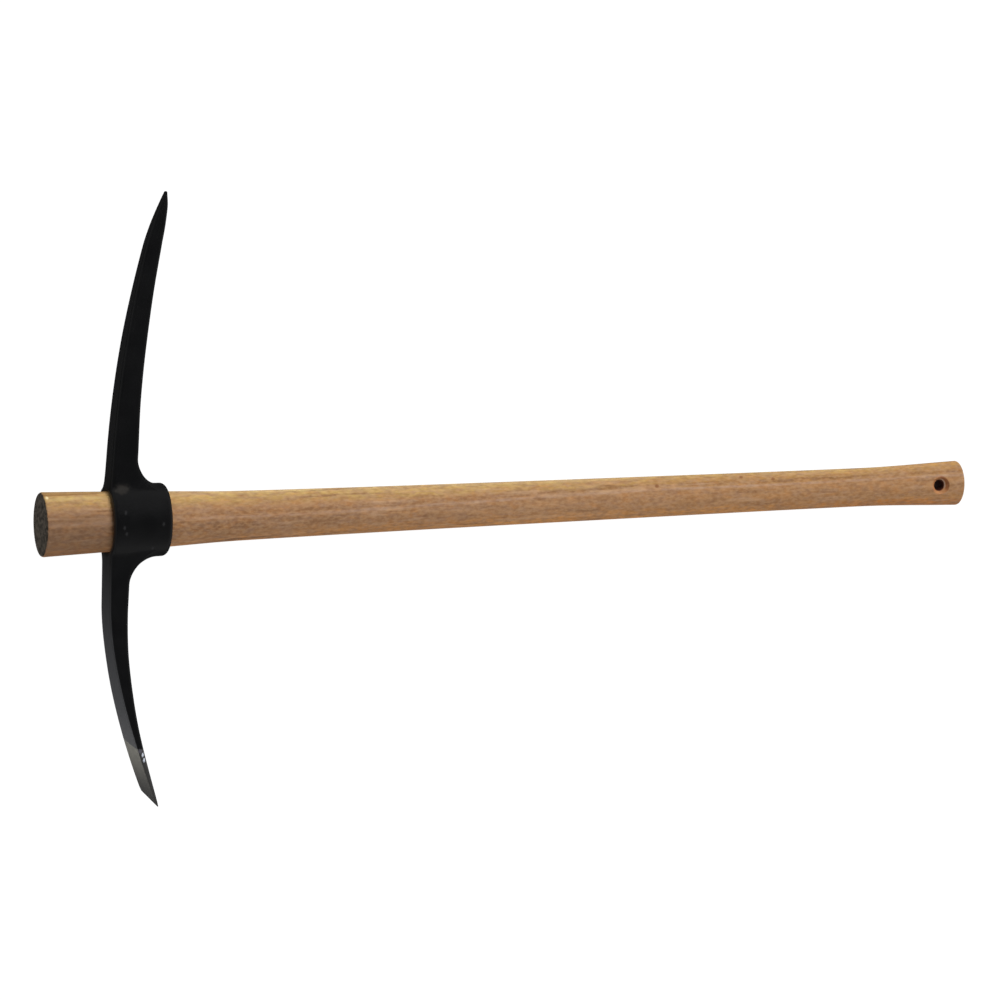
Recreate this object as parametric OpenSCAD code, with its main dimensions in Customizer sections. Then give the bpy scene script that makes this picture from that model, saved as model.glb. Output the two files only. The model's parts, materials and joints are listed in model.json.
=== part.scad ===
// Pick axe: an oval hardwood handle and a forged steel head with a point arm and a chisel arm.
// The head drops over the grip end, slides down the handle and jams where its eye meets the taper.
// X runs along the handle from the butt to the grip, Y along the head toward the point, Z up.
// The origin is the middle of the butt face. Lengths are millimetres and angles are degrees.

/* [Handle] */
// Length from the butt face to the grip end
handle_length = 896; // [850:1:1000]
// Height of the oval at the butt face
butt_height = 56; // [54:0.5:59]
// Height of the oval where it enters the eye
seat_height = 52.2; // [50:0.2:53.6]
// Height of the oval where it leaves the eye
neck_height = 48.4; // [46:0.2:50]
// Height of the oval at the throat, where the fast taper ends
throat_height = 43.5; // [41:0.5:45]
// Height of the oval halfway along the handle
middle_height = 38.4; // [37:0.2:40.4]
// Height of the oval at the waist, its thinnest place
waist_height = 35.8; // [33.4:0.2:37]
// Height of the swell at the grip end
grip_height = 41.5; // [39:0.5:44]
// Width of the oval as a share of its height
oval_share = 0.78; // [0.72:0.01:0.82]
// Distance from the butt face to the throat
throat_x = 180; // [160:5:220]
// Distance from the butt face to the waist
waist_x = 790; // [760:5:800]
// Rounding of the butt's edge
butt_round = 2.5; // [1.5:0.5:4]
// Length of the rounded grip end
grip_round = 5; // [3:0.5:8]

/* [Hang hole] */
// Diameter of the hole through the grip
hole_diameter = 10; // [8:0.5:12]
// Diameter of the countersinks on the grip's surface
countersink_diameter = 18; // [15:0.5:20]
// Depth of each countersink below the grip's surface
countersink_depth = 4.2; // [2:0.2:5]
// Distance from the grip end to the hole
hole_from_end = 28; // [25:1:36]

/* [Eye] */
// Distance from the butt face to the eye collar
eye_x = 58.8; // [50:0.2:66]
// Length of the eye collar along the handle
eye_length = 53; // [50:0.5:56]
// Height of the collar at its butt side
collar_height = 65; // [64:0.5:68]
// Height of the collar at its grip side
collar_end_height = 63.5; // [62:0.5:66]
// Width of the collar at its butt side
collar_width = 55; // [54:0.5:60]
// Width of the collar at its grip side
collar_end_width = 52; // [51:0.5:57]
// Rounding of the collar's outer rim at its butt side
collar_round = 2.5; // [1.5:0.5:3.5]
// Rounding of the collar's outer rim at its grip side
collar_end_round = 4.5; // [2:0.5:5]
// Lead-in at both mouths of the eye
eye_lead = 1.8; // [0.8:0.2:2.2]
// Gap all round between the seated eye and the handle
eye_clearance = 0.3; // [0.2:0.05:0.6]

/* [Head] */
// Set-back of the arms' outer faces from the collar's butt side
arm_setback = 0.3; // [0:0.1:2]
// Lean of the whole head toward the grip on the point side
head_lean = 1.3; // [0:0.1:2]
// Rounding of the arms' long edges
arm_round = 3; // [1:0.25:4]
// Length of the concave fillets along the arms
fillet_length = 23; // [18:0.5:26]
// Growth of the arms' sides at the fillets
side_fillet = 4; // [2:0.5:6]

/* [Point arm] */
// Reach of the point from the handle's axis
point_reach = 283; // [260:1:320]
// Depth of the point arm at its root
point_depth = 24; // [20:0.5:26]
// Thickness of the point arm at its root
point_thickness = 22.5; // [20:0.5:26]
// Sweep of the point toward the grip
point_sweep = 43; // [30:1:60]
// Extra hook of the beak at the very point
beak_hook = 5; // [2:0.5:8]
// Width of the fillet under the point arm
point_fillet = 18; // [12:0.5:20]

/* [Chisel arm] */
// Reach of the chisel edge from the handle's axis
chisel_reach = 244.5; // [220:0.5:280]
// Depth of the chisel arm at its root
chisel_depth = 19.5; // [17:0.5:22]
// Thickness of the chisel arm at its root
chisel_thickness = 27; // [24:0.5:32]
// Width of the chisel edge
edge_width = 46; // [38:0.5:55]
// Thickness left at the chisel edge
edge_thickness = 1.8; // [0.8:0.1:2.5]
// Sweep of the chisel edge toward the grip
chisel_sweep = 42; // [30:1:60]
// Skew of the ground edge from one corner to the other
edge_skew = 6; // [0:0.5:8]
// Width of the fillet under the chisel arm
chisel_fillet = 26; // [20:0.5:28]

/* [Hidden] */
// Points round the oval sections
oval_points = 48;
// Steps in a rounded corner of an arm's section
corner_steps = 3;
// Steps in the rounding of an end or a fillet
round_steps = 6;
// Sections along an arm
arm_steps = 22;
// Sections along each span of the handle
span_steps = 7;
// Bulge of the grip's end: 2 is an ellipse and more is squarer
grip_bulge = 2.5;
// Turn of the grip's rounded end, which leaves a small flat in its middle
grip_turn = 84;
// Overrun of a cut past the surface that it opens
overrun = 4 * eye_lead;
eye_end_x = eye_x + eye_length;
middle_share = 0.53;
middle_x = handle_length * middle_share;
swell_x = handle_length - grip_round;
hole_x = handle_length - hole_from_end;
// Height of the butt's flat face inside its rounded edge
butt_face_height = butt_height - 2 * butt_round;

// The handle's height at stops along it.
handle_stops = [
  [0, butt_height],
  [eye_x, seat_height],
  [eye_end_x, neck_height],
  [throat_x, throat_height],
  [middle_x, middle_height],
  [waist_x, waist_height],
  [swell_x, grip_height]
];

// Each arm's depth and thickness at stops along its reach, as shares of the root's size.
point_depth_shares = [
  [0, 1], [0.2, 0.97], [0.37, 0.87], [0.73, 0.68], [0.86, 0.62], [0.95, 0.45], [1, 0.1]
];
point_thickness_shares = [
  [0, 1], [0.37, 0.95], [0.55, 0.88], [0.7, 0.7], [0.87, 0.52], [0.95, 0.36], [1, 0.1]
];
chisel_depth_shares = [[0, 1], [0.3, 0.87], [0.5, 0.65], [0.72, 0.41], [0.9, 0.19], [1, 0]];
chisel_thickness_shares = [[0, 0], [0.28, 0.02], [0.45, 0.08], [0.6, 0.3], [0.8, 0.54], [1, 1]];
// Share of the reach that stays straight before an arm starts its sweep, and the sweep's power.
point_straight_share = 0;
point_curl = 2;
chisel_straight_share = 0.3;
chisel_curl = 1.65;
// Share of the point's reach where the beak starts to hook, and the hook's power.
beak_share = 0.9;
beak_curl = 1.2;
// Power of the fillets' curves: 1 is a quarter ellipse, more is flatter and less is tighter.
point_fillet_power = 1.5;
chisel_fillet_power = 1.3;
side_fillet_power = 0.6;
// Share of the chisel's reach where the grind starts, and with it the skew.
grind_share = 0.78;
// Largest share of a section's smaller side that a rounded corner may take.
corner_share = 0.4;

// Slope of the stops in span i, and the smooth slope at stop i: 0 at a high or low place.
function span_slope(stops, i) =
  (stops[i + 1][1] - stops[i][1]) / (stops[i + 1][0] - stops[i][0]);
function stop_slope(stops, i) =
  i == 0 ? span_slope(stops, 0)
  : i == len(stops) - 1 ? span_slope(stops, i - 1)
  : let (a = span_slope(stops, i - 1), b = span_slope(stops, i))
    a * b <= 0 ? 0 : 2 * a * b / (a + b);

// Smooth curve through the stops: cubic in each span, held straight before and after.
function smooth(stops, x, i = 0) =
  i < len(stops) - 2 && x > stops[i + 1][0] ? smooth(stops, x, i + 1)
  : let (
      run = stops[i + 1][0] - stops[i][0],
      t = (x - stops[i][0]) / run,
      m0 = stop_slope(stops, i) * run,
      m1 = stop_slope(stops, i + 1) * run,
      p0 = stops[i][1],
      p1 = stops[i + 1][1]
    )
    t < 0 ? p0 + m0 * t
    : t > 1 ? p1 + m1 * (t - 1)
    : p0 + m0 * t + (3 * (p1 - p0) - 2 * m0 - m1) * pow(t, 2)
      + (2 * (p0 - p1) + m0 + m1) * pow(t, 3);

function handle_height(x) = smooth(handle_stops, x);

// An oval across the handle at x.
function oval(x, height, width) = [
  for (i = [0:oval_points - 1])
    let (a = 360 * i / oval_points)
    [x, height / 2 * cos(a), width / 2 * sin(a)]
];

// A rounded rectangle across an arm at y, tilted by skew for each unit of width.
function slab(y, x0, x1, thickness, skew) =
  let (
    r = min(arm_round, corner_share * min(x1 - x0, thickness)),
    xm = (x0 + x1) / 2,
    hx = (x1 - x0) / 2 - r,
    hz = thickness / 2 - r
  )
  [
    for (q = [0:3])
      for (i = [0:corner_steps])
        let (
          a = 90 * (q + i / corner_steps),
          sx = q == 0 || q == 3 ? 1 : -1,
          sz = q < 2 ? 1 : -1,
          z = -sz * hz - r * sin(a)
        )
        [xm + sx * hx + r * cos(a), y + skew * z, z]
  ];

// A solid skinned over rings that have the same number of points.
module skin(rings) {
  n = len(rings[0]);
  last = len(rings) - 1;
  sides = [
    for (k = [0:last - 1])
      for (i = [0:n - 1])
        let (a = k * n + i, b = k * n + (i + 1) % n)
        each [[a, b + n, b], [a, a + n, b + n]]
  ];
  first_cap = [for (i = [0:n - 1]) i];
  last_cap = [for (i = [n - 1:-1:0]) last * n + i];
  polyhedron(points = [for (ring = rings) each ring], faces = concat(sides, [first_cap, last_cap]));
}

// Places along the handle: its rounded butt, then equal steps in each span, then its rounded grip end.
butt_ring = function (a)
  let (x = butt_round * (1 - sin(a)), h = handle_height(x) - 2 * butt_round * (1 - cos(a)))
  oval(x, h, h * oval_share);
grip_ring = function (u)
  let (h = grip_height * pow(1 - pow(u, grip_bulge), 1 / grip_bulge))
  oval(swell_x + grip_round * u, h, h * oval_share);

module handle_body() {
  butt_rings = [for (i = [round_steps:-1:1]) butt_ring(90 * i / round_steps)];
  body_rings = [
    for (k = [0:len(handle_stops) - 2])
      let (a = k == 0 ? butt_round : handle_stops[k][0], b = handle_stops[k + 1][0])
      for (i = [0:span_steps - 1])
        let (x = a + (b - a) * i / span_steps, h = handle_height(x))
        oval(x, h, h * oval_share)
  ];
  // The last steps bunch toward the flat in the middle of the grip's end.
  grip_rings = [for (i = [0:round_steps]) grip_ring(sin(grip_turn * i / round_steps))];
  // The butt starts before its face, which a later cut makes flat.
  stub = oval(-butt_round, butt_face_height, butt_face_height * oval_share);
  skin(concat([stub], butt_rings, body_rings, grip_rings));
}

// What is sawn off to leave the butt's flat face.
module butt_cut() {
  size = 2 * butt_height;
  translate([-size, -size / 2, -size / 2])
    cube(size);
}

// The hang hole with a countersink on each side, along Z.
module hang_hole() {
  hole_height = handle_height(hole_x) * oval_share;
  // How fast the countersink widens with its height
  flare = (countersink_diameter - hole_diameter) / countersink_depth;
  translate([hole_x, 0, 0]) {
    cylinder(d = hole_diameter, h = hole_height + 2 * overrun, center = true, $fn = 48);
    for (side = [0, 1])
      mirror([0, 0, side])
        translate([0, 0, hole_height / 2 - countersink_depth])
          cylinder(
            d1 = hole_diameter,
            d2 = countersink_diameter + flare * overrun,
            h = countersink_depth + overrun,
            $fn = 48
          );
  }
}

module handle() {
  color("BurlyWood")
    difference() {
      handle_body();
      butt_cut();
      hang_hole();
    }
}

// How far an arm's outer face has swept toward the grip at share s of its reach.
function swept(s, straight_share, curl, sweep) =
  sweep * pow(max(0, (s - straight_share) / (1 - straight_share)), curl);

// The outer face of either arm at y, before its sweep.
function outer_x(y) = eye_x + arm_setback + y * tan(head_lean);

function point_outer(s) =
  outer_x(s * point_reach) + swept(s, point_straight_share, point_curl, point_sweep)
  + beak_hook * pow(max(0, (s - beak_share) / (1 - beak_share)), beak_curl);
function point_ring(s, grow_x, grow_z) =
  slab(
    s * point_reach,
    point_outer(s),
    point_outer(s) + point_depth * smooth(point_depth_shares, s) + grow_x,
    point_thickness * smooth(point_thickness_shares, s) + 2 * grow_z,
    0
  );

function chisel_outer(s) =
  outer_x(-s * chisel_reach) + swept(s, chisel_straight_share, chisel_curl, chisel_sweep);
function chisel_ring(s, grow_x, grow_z) =
  slab(
    -s * chisel_reach,
    chisel_outer(s),
    chisel_outer(s) + edge_thickness
      + (chisel_depth - edge_thickness) * smooth(chisel_depth_shares, s) + grow_x,
    chisel_thickness
      + (edge_width - chisel_thickness) * smooth(chisel_thickness_shares, s) + 2 * grow_z,
    -edge_skew / edge_width * max(0, (s - grind_share) / (1 - grind_share))
  );

// Where the collar's own wall is half way through, which the arms start from.
root_y = (collar_height + seat_height) / 4;
fillet_y = (collar_height + collar_end_height) / 4 - arm_round / 2;
point_fillet_share = (fillet_y + fillet_length) / point_reach;
chisel_fillet_share = (fillet_y + fillet_length) / chisel_reach;

// How far a fillet has run along the arm, and how far it has widened, at angle a of its turn.
function fillet_run(a, power) = fillet_length * (1 - pow(sin(a), power));
function fillet_rise(a, power) = 1 - pow(cos(a), power);

module point_arm() {
  fillet_rings = [
    for (i = [round_steps:-1:1])
      let (a = 90 * i / round_steps)
      point_ring(
        (fillet_y + fillet_run(a, point_fillet_power)) / point_reach,
        point_fillet * fillet_rise(a, point_fillet_power),
        side_fillet * fillet_rise(a, side_fillet_power)
      )
  ];
  free_rings = [
    for (i = [0:arm_steps])
      point_ring(point_fillet_share + (1 - point_fillet_share) * sin(90 * i / arm_steps), 0, 0)
  ];
  root_ring = point_ring(root_y / point_reach, point_fillet, side_fillet);
  skin(concat([root_ring], fillet_rings, free_rings));
}

module chisel_arm() {
  fillet_rings = [
    for (i = [1:round_steps])
      let (a = 90 * i / round_steps)
      chisel_ring(
        (fillet_y + fillet_run(a, chisel_fillet_power)) / chisel_reach,
        chisel_fillet * fillet_rise(a, chisel_fillet_power),
        side_fillet * fillet_rise(a, side_fillet_power)
      )
  ];
  free_rings = [
    for (i = [arm_steps:-1:0])
      chisel_ring(chisel_fillet_share + (1 - chisel_fillet_share) * i / arm_steps, 0, 0)
  ];
  root_ring = chisel_ring(root_y / chisel_reach, chisel_fillet, side_fillet);
  skin(concat(free_rings, fillet_rings, [root_ring]));
}

// The collar before the eye is cut: an oval that tapers toward the grip, with rounded rims.
function collar_ring(x, inset) =
  let (t = (x - eye_x) / eye_length)
  oval(
    x,
    collar_height + (collar_end_height - collar_height) * t - 2 * inset,
    collar_width + (collar_end_width - collar_width) * t - 2 * inset
  );

module collar() {
  angles = [for (i = [0:corner_steps]) 90 * i / corner_steps];
  near_rings = [
    for (a = angles)
      collar_ring(eye_x + collar_round * (1 - sin(a)), collar_round * (1 - cos(a)))
  ];
  far_rings = [
    for (a = angles)
      collar_ring(eye_end_x - collar_end_round * (1 - sin(a)), collar_end_round * (1 - cos(a)))
  ];
  skin(concat([for (i = [corner_steps:-1:0]) near_rings[i]], far_rings));
}

// The eye follows the handle's own taper with the clearance added, and opens at both mouths.
module eye() {
  grown = function (x, more)
    let (grow = 2 * (eye_clearance + more), h = handle_height(x))
    oval(x, h + grow, h * oval_share + grow);
  body_rings = [
    for (i = [0:span_steps])
      let (x = eye_x + eye_lead + (eye_length - 2 * eye_lead) * i / span_steps)
      grown(x, 0)
  ];
  near_ring = grown(eye_x - overrun, eye_lead + overrun);
  far_ring = grown(eye_end_x + overrun, eye_lead + overrun);
  skin(concat([near_ring], body_rings, [far_ring]));
}

module head() {
  color("DimGray")
    difference() {
      union() {
        collar();
        point_arm();
        chisel_arm();
      }
      eye();
    }
}

handle();
head();
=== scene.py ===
# Looks of the pick axe: an oval hardwood handle with a sealed butt and a countersunk hang hole,
# and a forged head with a black lacquered point arm and a chisel arm that ends in bare ground steel.
# Lengths are metres in the part's own frame: X along the handle, Y toward the point, Z up.

import functools
import json
import math

import bmesh
import bpy
import numpy as np
from mathutils import Matrix, Vector


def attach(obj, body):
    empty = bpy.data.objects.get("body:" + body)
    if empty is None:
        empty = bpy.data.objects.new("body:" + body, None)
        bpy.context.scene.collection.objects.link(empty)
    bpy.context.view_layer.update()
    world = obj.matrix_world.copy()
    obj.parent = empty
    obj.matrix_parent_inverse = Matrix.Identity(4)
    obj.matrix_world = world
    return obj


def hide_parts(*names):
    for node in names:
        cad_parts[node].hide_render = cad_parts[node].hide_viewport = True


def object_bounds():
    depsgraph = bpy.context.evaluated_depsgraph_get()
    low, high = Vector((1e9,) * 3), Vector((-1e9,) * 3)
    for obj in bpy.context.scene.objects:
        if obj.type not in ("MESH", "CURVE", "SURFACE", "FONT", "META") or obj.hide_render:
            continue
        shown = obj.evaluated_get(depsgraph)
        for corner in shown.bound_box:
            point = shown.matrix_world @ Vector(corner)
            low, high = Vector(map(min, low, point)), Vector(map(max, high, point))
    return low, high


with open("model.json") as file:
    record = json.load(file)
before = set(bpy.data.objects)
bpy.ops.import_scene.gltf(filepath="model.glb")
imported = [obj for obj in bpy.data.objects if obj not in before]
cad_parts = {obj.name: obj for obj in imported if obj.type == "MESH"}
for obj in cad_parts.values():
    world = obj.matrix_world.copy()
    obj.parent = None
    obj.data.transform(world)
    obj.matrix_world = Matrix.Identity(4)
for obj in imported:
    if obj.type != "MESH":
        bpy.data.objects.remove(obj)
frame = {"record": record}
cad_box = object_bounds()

MM = 0.001

# Points this close are one point, and edges past this angle stay sharp.
MERGE_DISTANCE = 0.5e-6
SHARP_ANGLE = math.radians(50)

# The handle's stops: place along the handle and height of the oval there.
HANDLE_LENGTH = 896 * MM
EYE_X = 58.8 * MM
EYE_END_X = 111.8 * MM
GRIP_ROUND = 5 * MM
SWELL_X = HANDLE_LENGTH - GRIP_ROUND
GRIP_HEIGHT = 41.5 * MM
HANDLE_STOPS = [
    (0, 56 * MM),
    (EYE_X, 52.2 * MM),
    (EYE_END_X, 48.4 * MM),
    (180 * MM, 43.5 * MM),
    (0.53 * HANDLE_LENGTH, 38.4 * MM),
    (790 * MM, 35.8 * MM),
    (SWELL_X, GRIP_HEIGHT),
]
OVAL_SHARE = 0.78
BUTT_ROUND = 2.5 * MM
BUTT_FACE_HEIGHT = 51 * MM
GRIP_BULGE = 2.5
GRIP_TURN = math.radians(84)
HANDLE_COLUMNS = 128
HANDLE_ROWS = 240
BUTT_ROWS = 8
AFTER_HOLE_ROWS = 6
GRIP_ROWS = 14

# The hang hole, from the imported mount, with a countersink on each side.
HOLE_MOUNT = next(m for m in frame["record"]["mounts"] if m["name"] == "hang_hole")
HOLE_X = HOLE_MOUNT["pos_m"][0]
HOLE_RADIUS = HOLE_MOUNT["dims"]["r_mm"] * MM
COUNTERSINK_DEPTH = 4.2 * MM
COUNTERSINK_FLARE = 0.952
HOLE_SOFTNESS = 0.45 * MM
HOLE_OPENING = 16 * MM
HOLE_OPENING_COLUMNS = 14
HOLE_OPENING_ROWS = 28
HOLE_ROWS = 8
SOFT_EDGE_ROWS = 5
RIM_STEPS = 40

# The eye collar of the head.
COLLAR_HEIGHTS = (65 * MM, 63.5 * MM)
COLLAR_WIDTHS = (55 * MM, 52 * MM)
COLLAR_ROUND = 2.5 * MM
COLLAR_END_ROUND = 4.5 * MM
COLLAR_REST_ROWS = 5
COLLAR_END_ROWS = 10
EYE_LEAD = 1.8 * MM
EYE_CLEARANCE = 0.3 * MM
EYE_LEAD_ROWS = 3
EYE_RINGS = 22

# Where the arms grow out of the collar: a rectangle of the collar along X and round the axis.
ROOT_END_X = 102.6 * MM
POINT_TURN = math.radians(34)
CHISEL_TURN = math.radians(42)
ROOT_ROWS = 40
ROOT_COLUMNS = 32
SIDE_COLUMNS = 44
FREE_Y = 54.1 * MM
FILLET_ROWS = 22
LOOK_AHEAD_SHARE = 0.001
# How closely a fillet hugs its corner: 1 is nearly straight, 1.66 is a quarter circle and 3 is a crease.
# The stops run across an arm from its outer face to its inner face.
HUG_STOPS = (-1, -0.6, 0.2, 1)
OUTER_HUG = 2.9
SIDE_HUG = 2.5
POINT_HUG = 1.25
CHISEL_HUG = 1.35

# The arms.
ARM_SETBACK = 0.3 * MM
ARM_LEAN = math.tan(math.radians(1.3))
ARM_ROUND = 3 * MM
CORNER_SHARE = 0.4
ARM_ROWS = 72
CAP_ROWS = 6
POINT_REACH = 283 * MM
POINT_DEPTH = 24 * MM
POINT_THICKNESS = 22.5 * MM
POINT_SWEEP = 43 * MM
POINT_CURL = 2
POINT_BLUNT = 1 * MM
BEAK_HOOK = 4.6 * MM
BEAK_SHARE = 0.84
BEAK_CURL = 1.6
POINT_DEPTH_SHARES = [
    (0, 1), (0.2, 0.97), (0.37, 0.87), (0.73, 0.68), (0.86, 0.585), (0.95, 0.37), (1, 0.1)
]
POINT_THICKNESS_SHARES = [
    (0, 1), (0.37, 0.95), (0.55, 0.88), (0.7, 0.7), (0.87, 0.52), (0.95, 0.36), (1, 0.1)
]
CHISEL_REACH = 244.5 * MM
CHISEL_DEPTH = 19.5 * MM
CHISEL_THICKNESS = 27 * MM
CHISEL_SWEEP = 42 * MM
CHISEL_STRAIGHT_SHARE = 0.3
CHISEL_CURL = 1.65
CHISEL_BLUNT = 0.15 * MM
EDGE_WIDTH = 46 * MM
EDGE_THICKNESS = 1.8 * MM
EDGE_SKEW = 6 * MM
GRIND_SHARE = 0.78
EDGE_BEVEL_SHARE = 0.982
EDGE_BEVEL = 0.4 * MM
CHISEL_DEPTH_SHARES = [(0, 1), (0.3, 0.87), (0.5, 0.65), (0.72, 0.37), (0.9, 0.155), (1, 0)]
CHISEL_THICKNESS_SHARES = [(0, 0), (0.28, 0.02), (0.45, 0.08), (0.6, 0.3), (0.8, 0.54), (1, 1)]
# An arm's outer face in its unit loop: it starts at this edge and counts in full after the ease.
OUTER_FACE_EDGE = -0.9
OUTER_FACE_EASE = 0.1

# Small marks in the finishes, some of them painted highlights: their middles and their sizes, in
# millimetres.
PIN_KNOTS = [(576.2, 11.1, 11.7), (663.2, 15.4, 7.5), (694.8, 12.6, 10.1)]
PIN_KNOT_SIZE = (2.7, 2.1, 2.1)
# A painted highlight on the butt's rounded upper edge.
BUTT_GLINT = [(3.2, 24.2, 10.9)]
BUTT_GLINT_SIZE = (1.8, 2.1, 2.8)
SCUFFS = [(68.6, 10.3, 25.8), (67, -2.5, 27.2), (69, -7.8, 26.4), (102.3, -0.8, 26.3), (94.6, -22, 19.2)]
SCUFF_SIZE = (1.5, 2.2, 3)
# A painted highlight on the collar near the point's root.
GLOSS_HIGHLIGHT = [(69, 28.5, 12.5)]
GLOSS_HIGHLIGHT_SIZE = (9, 6, 8)
# Painted glints on the chisel's near flank at the paint line: bright spots and a dim patch.
FLANK_GLINT_SPOTS = [(84.3, -201.8, 18.9), (85.4, -206.4, 19.2)]
FLANK_GLINT_SIZE = (1.3, 2.4, 4)
DIM_FLANK_GLINT = [(82.2, -198.6, 18.7)]
DIM_FLANK_GLINT_SIZE = (2.4, 2.4, 4)

# The fibre of the wood: how often a metre and how far it sways.
SWAY_PER_METRE = (5, 30, 30)
SWAY = (0, 3 * MM, 3 * MM)

# The side of the hang hole, from its axis, with a painted sheen on the lip and painted shade on the rim.
HOLE_PAINTED_LIGHT_SIDE = (0.89, 0.45, 0)

# The line on the chisel arm where the lacquer stops.
PAINT_LINE_Y = -194 * MM
PAINT_LINE_TILT = 0.1
PAINT_LINE_RAGGED = 1.4 * MM

# Main colours of the finishes, each from its darker to its paler tone, in screen values.
WOOD_TONES = ((170, 130, 94), (194, 161, 97))
SEAL_TONES = ((46, 42, 37), (82, 75, 66))
LACQUER_TONES = ((10, 10, 11), (14, 14, 15))
STEEL_TONES = ((150, 148, 139), (172, 170, 161))

# The fine relief of both finishes.
RELIEF_DEPTH = 0.1 * MM
RELIEF_STRENGTH = 0.5

# The camera, as the photograph was taken.
CAMERA_PLACE = Vector((-0.92877, 0.41621, 3.20106))
CAMERA_AIM = Vector((0.42637, 0.00334, 0))
CAMERA_ROLL = math.radians(0.252)
CAMERA_LENS = 140.66
CAMERA_SENSOR = 36

# The floor, and the brightness of the surround that the lacquer mirrors.
FLOOR_HALF = 8
FLOOR_SHADE = (0.06, 0.06, 0.06, 1)
OVERHEAD_LIGHT = 0.03
HORIZON_LIGHT = 0.4
BELOW_LIGHT = 0.05
BELOW_RISE = -0.3
WHITE = (1, 1, 1, 1)


def smooth(stops, x):
    """Smooth curve through stops: in each span a cubic, whose slope at a stop is the harmonic mean
    of the slopes of the two spans beside it, or 0 where they differ in sign."""
    place, value = np.array(stops, float).T
    slope = np.diff(value) / np.diff(place)
    before, after = slope[:-1], slope[1:]
    level = before * after <= 0
    mean = np.where(level, 0, 2 * before * after / np.where(level, 1, before + after))
    slopes = np.concatenate([slope[:1], mean, slope[-1:]])
    i = np.clip(np.searchsorted(place, x) - 1, 0, len(place) - 2)
    run = place[i + 1] - place[i]
    t = (x - place[i]) / run
    return hermite(t, value[i], slopes[i] * run, value[i + 1], slopes[i + 1] * run)


def hermite(t, start, start_slope, end, end_slope):
    """Cubic curve from start to end with the given slopes at its ends."""
    return (
        start * (2 * t**3 - 3 * t**2 + 1)
        + start_slope * (t**3 - 2 * t**2 + t)
        + end * (3 * t**2 - 2 * t**3)
        + end_slope * (t**3 - t**2)
    )


def bunched(steps):
    """Values from -1 to 1 that lie closer toward both ends: minus the cosine of an even half turn."""
    return -np.cos(np.linspace(0, math.pi, steps + 1))


def oval(x, height, width, angle):
    """Ovals across the handle: y is half the height times the cosine, z half the width times the sine."""
    x, height, width, angle = np.broadcast_arrays(x, height, width, angle)
    return np.stack([x, height / 2 * np.cos(angle), width / 2 * np.sin(angle)], -1)


def rim_of(grid, rows, columns):
    """The points round a rectangle of a grid, in order, as one loop without its closing point."""
    (i0, i1), (j0, j1) = rows, columns
    sides = [grid[i0, j0:j1], grid[i0:i1, j1], grid[i1, j1:j0:-1], grid[i1:i0:-1, j0]]
    return np.concatenate(sides)


def closed(loops):
    """Rows of loops with each loop's first point repeated at its end."""
    return np.concatenate([loops, loops[:, :1]], 1)


def capped(ring, depth):
    """Rows that close a ring to its middle over a shallow dome: scaled by the cosine of a quarter
    turn and moved by depth times its sine."""
    turn = np.linspace(0, math.pi / 2, CAP_ROWS + 1)[1:, None, None]
    middle = ring.mean(0)
    return middle + (ring - middle) * np.cos(turn) + depth * np.sin(turn)


def all_cells(points):
    """Every cell of a grid is kept."""
    return np.ones((points.shape[0] - 1, points.shape[1] - 1), bool)


def quads(keep, first):
    """Vertex numbers of the kept cells of a grid whose points are numbered row by row from first."""
    rows, columns = keep.shape
    index = first + np.arange((rows + 1) * (columns + 1)).reshape(rows + 1, columns + 1)
    corners = [index[:-1, :-1], index[1:, :-1], index[1:, 1:], index[:-1, 1:]]
    return np.stack(corners, -1)[keep]


def surface(name, grids, masks):
    """One closed mesh from grids of points, each given with its kept cells: edges that coincide are
    merged and faces are turned outwards. Each mask holds one value for each point, as an attribute."""
    first = np.cumsum([0] + [points.shape[0] * points.shape[1] for points, keep in grids])
    points = np.concatenate([points.reshape(-1, 3) for points, keep in grids])
    faces = np.concatenate([quads(keep, start) for (grid, keep), start in zip(grids, first)])
    mesh = bpy.data.meshes.new(name)
    mesh.from_pydata(points, [], faces.tolist())
    for label, values in masks.items():
        mesh.attributes.new(label, "FLOAT", "POINT").data.foreach_set("value", np.concatenate(values))
    shape = bmesh.new()
    shape.from_mesh(mesh)
    bmesh.ops.remove_doubles(shape, verts=shape.verts, dist=MERGE_DISTANCE)
    bmesh.ops.delete(shape, geom=[v for v in shape.verts if not v.link_faces], context="VERTS")
    bmesh.ops.recalc_face_normals(shape, faces=shape.faces)
    shape.to_mesh(mesh)
    shape.free()
    mesh.shade_smooth()
    mesh.set_sharp_from_angle(angle=SHARP_ANGLE)
    piece = bpy.data.objects.new(name, mesh)
    bpy.context.scene.collection.objects.link(piece)
    return piece


def handle_rings():
    """Place and height of the handle's rings: out across the flat butt face, round its edge by a
    quarter circle, along the taper, and round the grip's end by a superellipse to its middle."""
    face = BUTT_FACE_HEIGHT * np.linspace(0, 1, BUTT_ROWS + 1)[:-1]
    turn = np.linspace(math.pi / 2, 0, BUTT_ROWS + 1)
    edge_x = BUTT_ROUND * (1 - np.sin(turn))
    edge = smooth(HANDLE_STOPS, edge_x) - 2 * BUTT_ROUND * (1 - np.cos(turn))
    before = np.linspace(BUTT_ROUND, HOLE_X - HOLE_OPENING, HANDLE_ROWS)[1:]
    beside = np.linspace(HOLE_X - HOLE_OPENING, HOLE_X + HOLE_OPENING, HOLE_OPENING_ROWS + 1)[1:]
    after = np.linspace(HOLE_X + HOLE_OPENING, SWELL_X, AFTER_HOLE_ROWS + 1)[1:]
    body_x = np.concatenate([before, beside, after])
    u = np.sin(np.linspace(0, GRIP_TURN, GRIP_ROWS + 1))[1:]
    end_x = SWELL_X + GRIP_ROUND * u
    end = GRIP_HEIGHT * (1 - u**GRIP_BULGE) ** (1 / GRIP_BULGE)
    x = np.concatenate([0 * face, edge_x, body_x, end_x, end_x[-1:]])
    height = np.concatenate([face, edge, smooth(HANDLE_STOPS, body_x), end, [0]])
    return x, height


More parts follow.
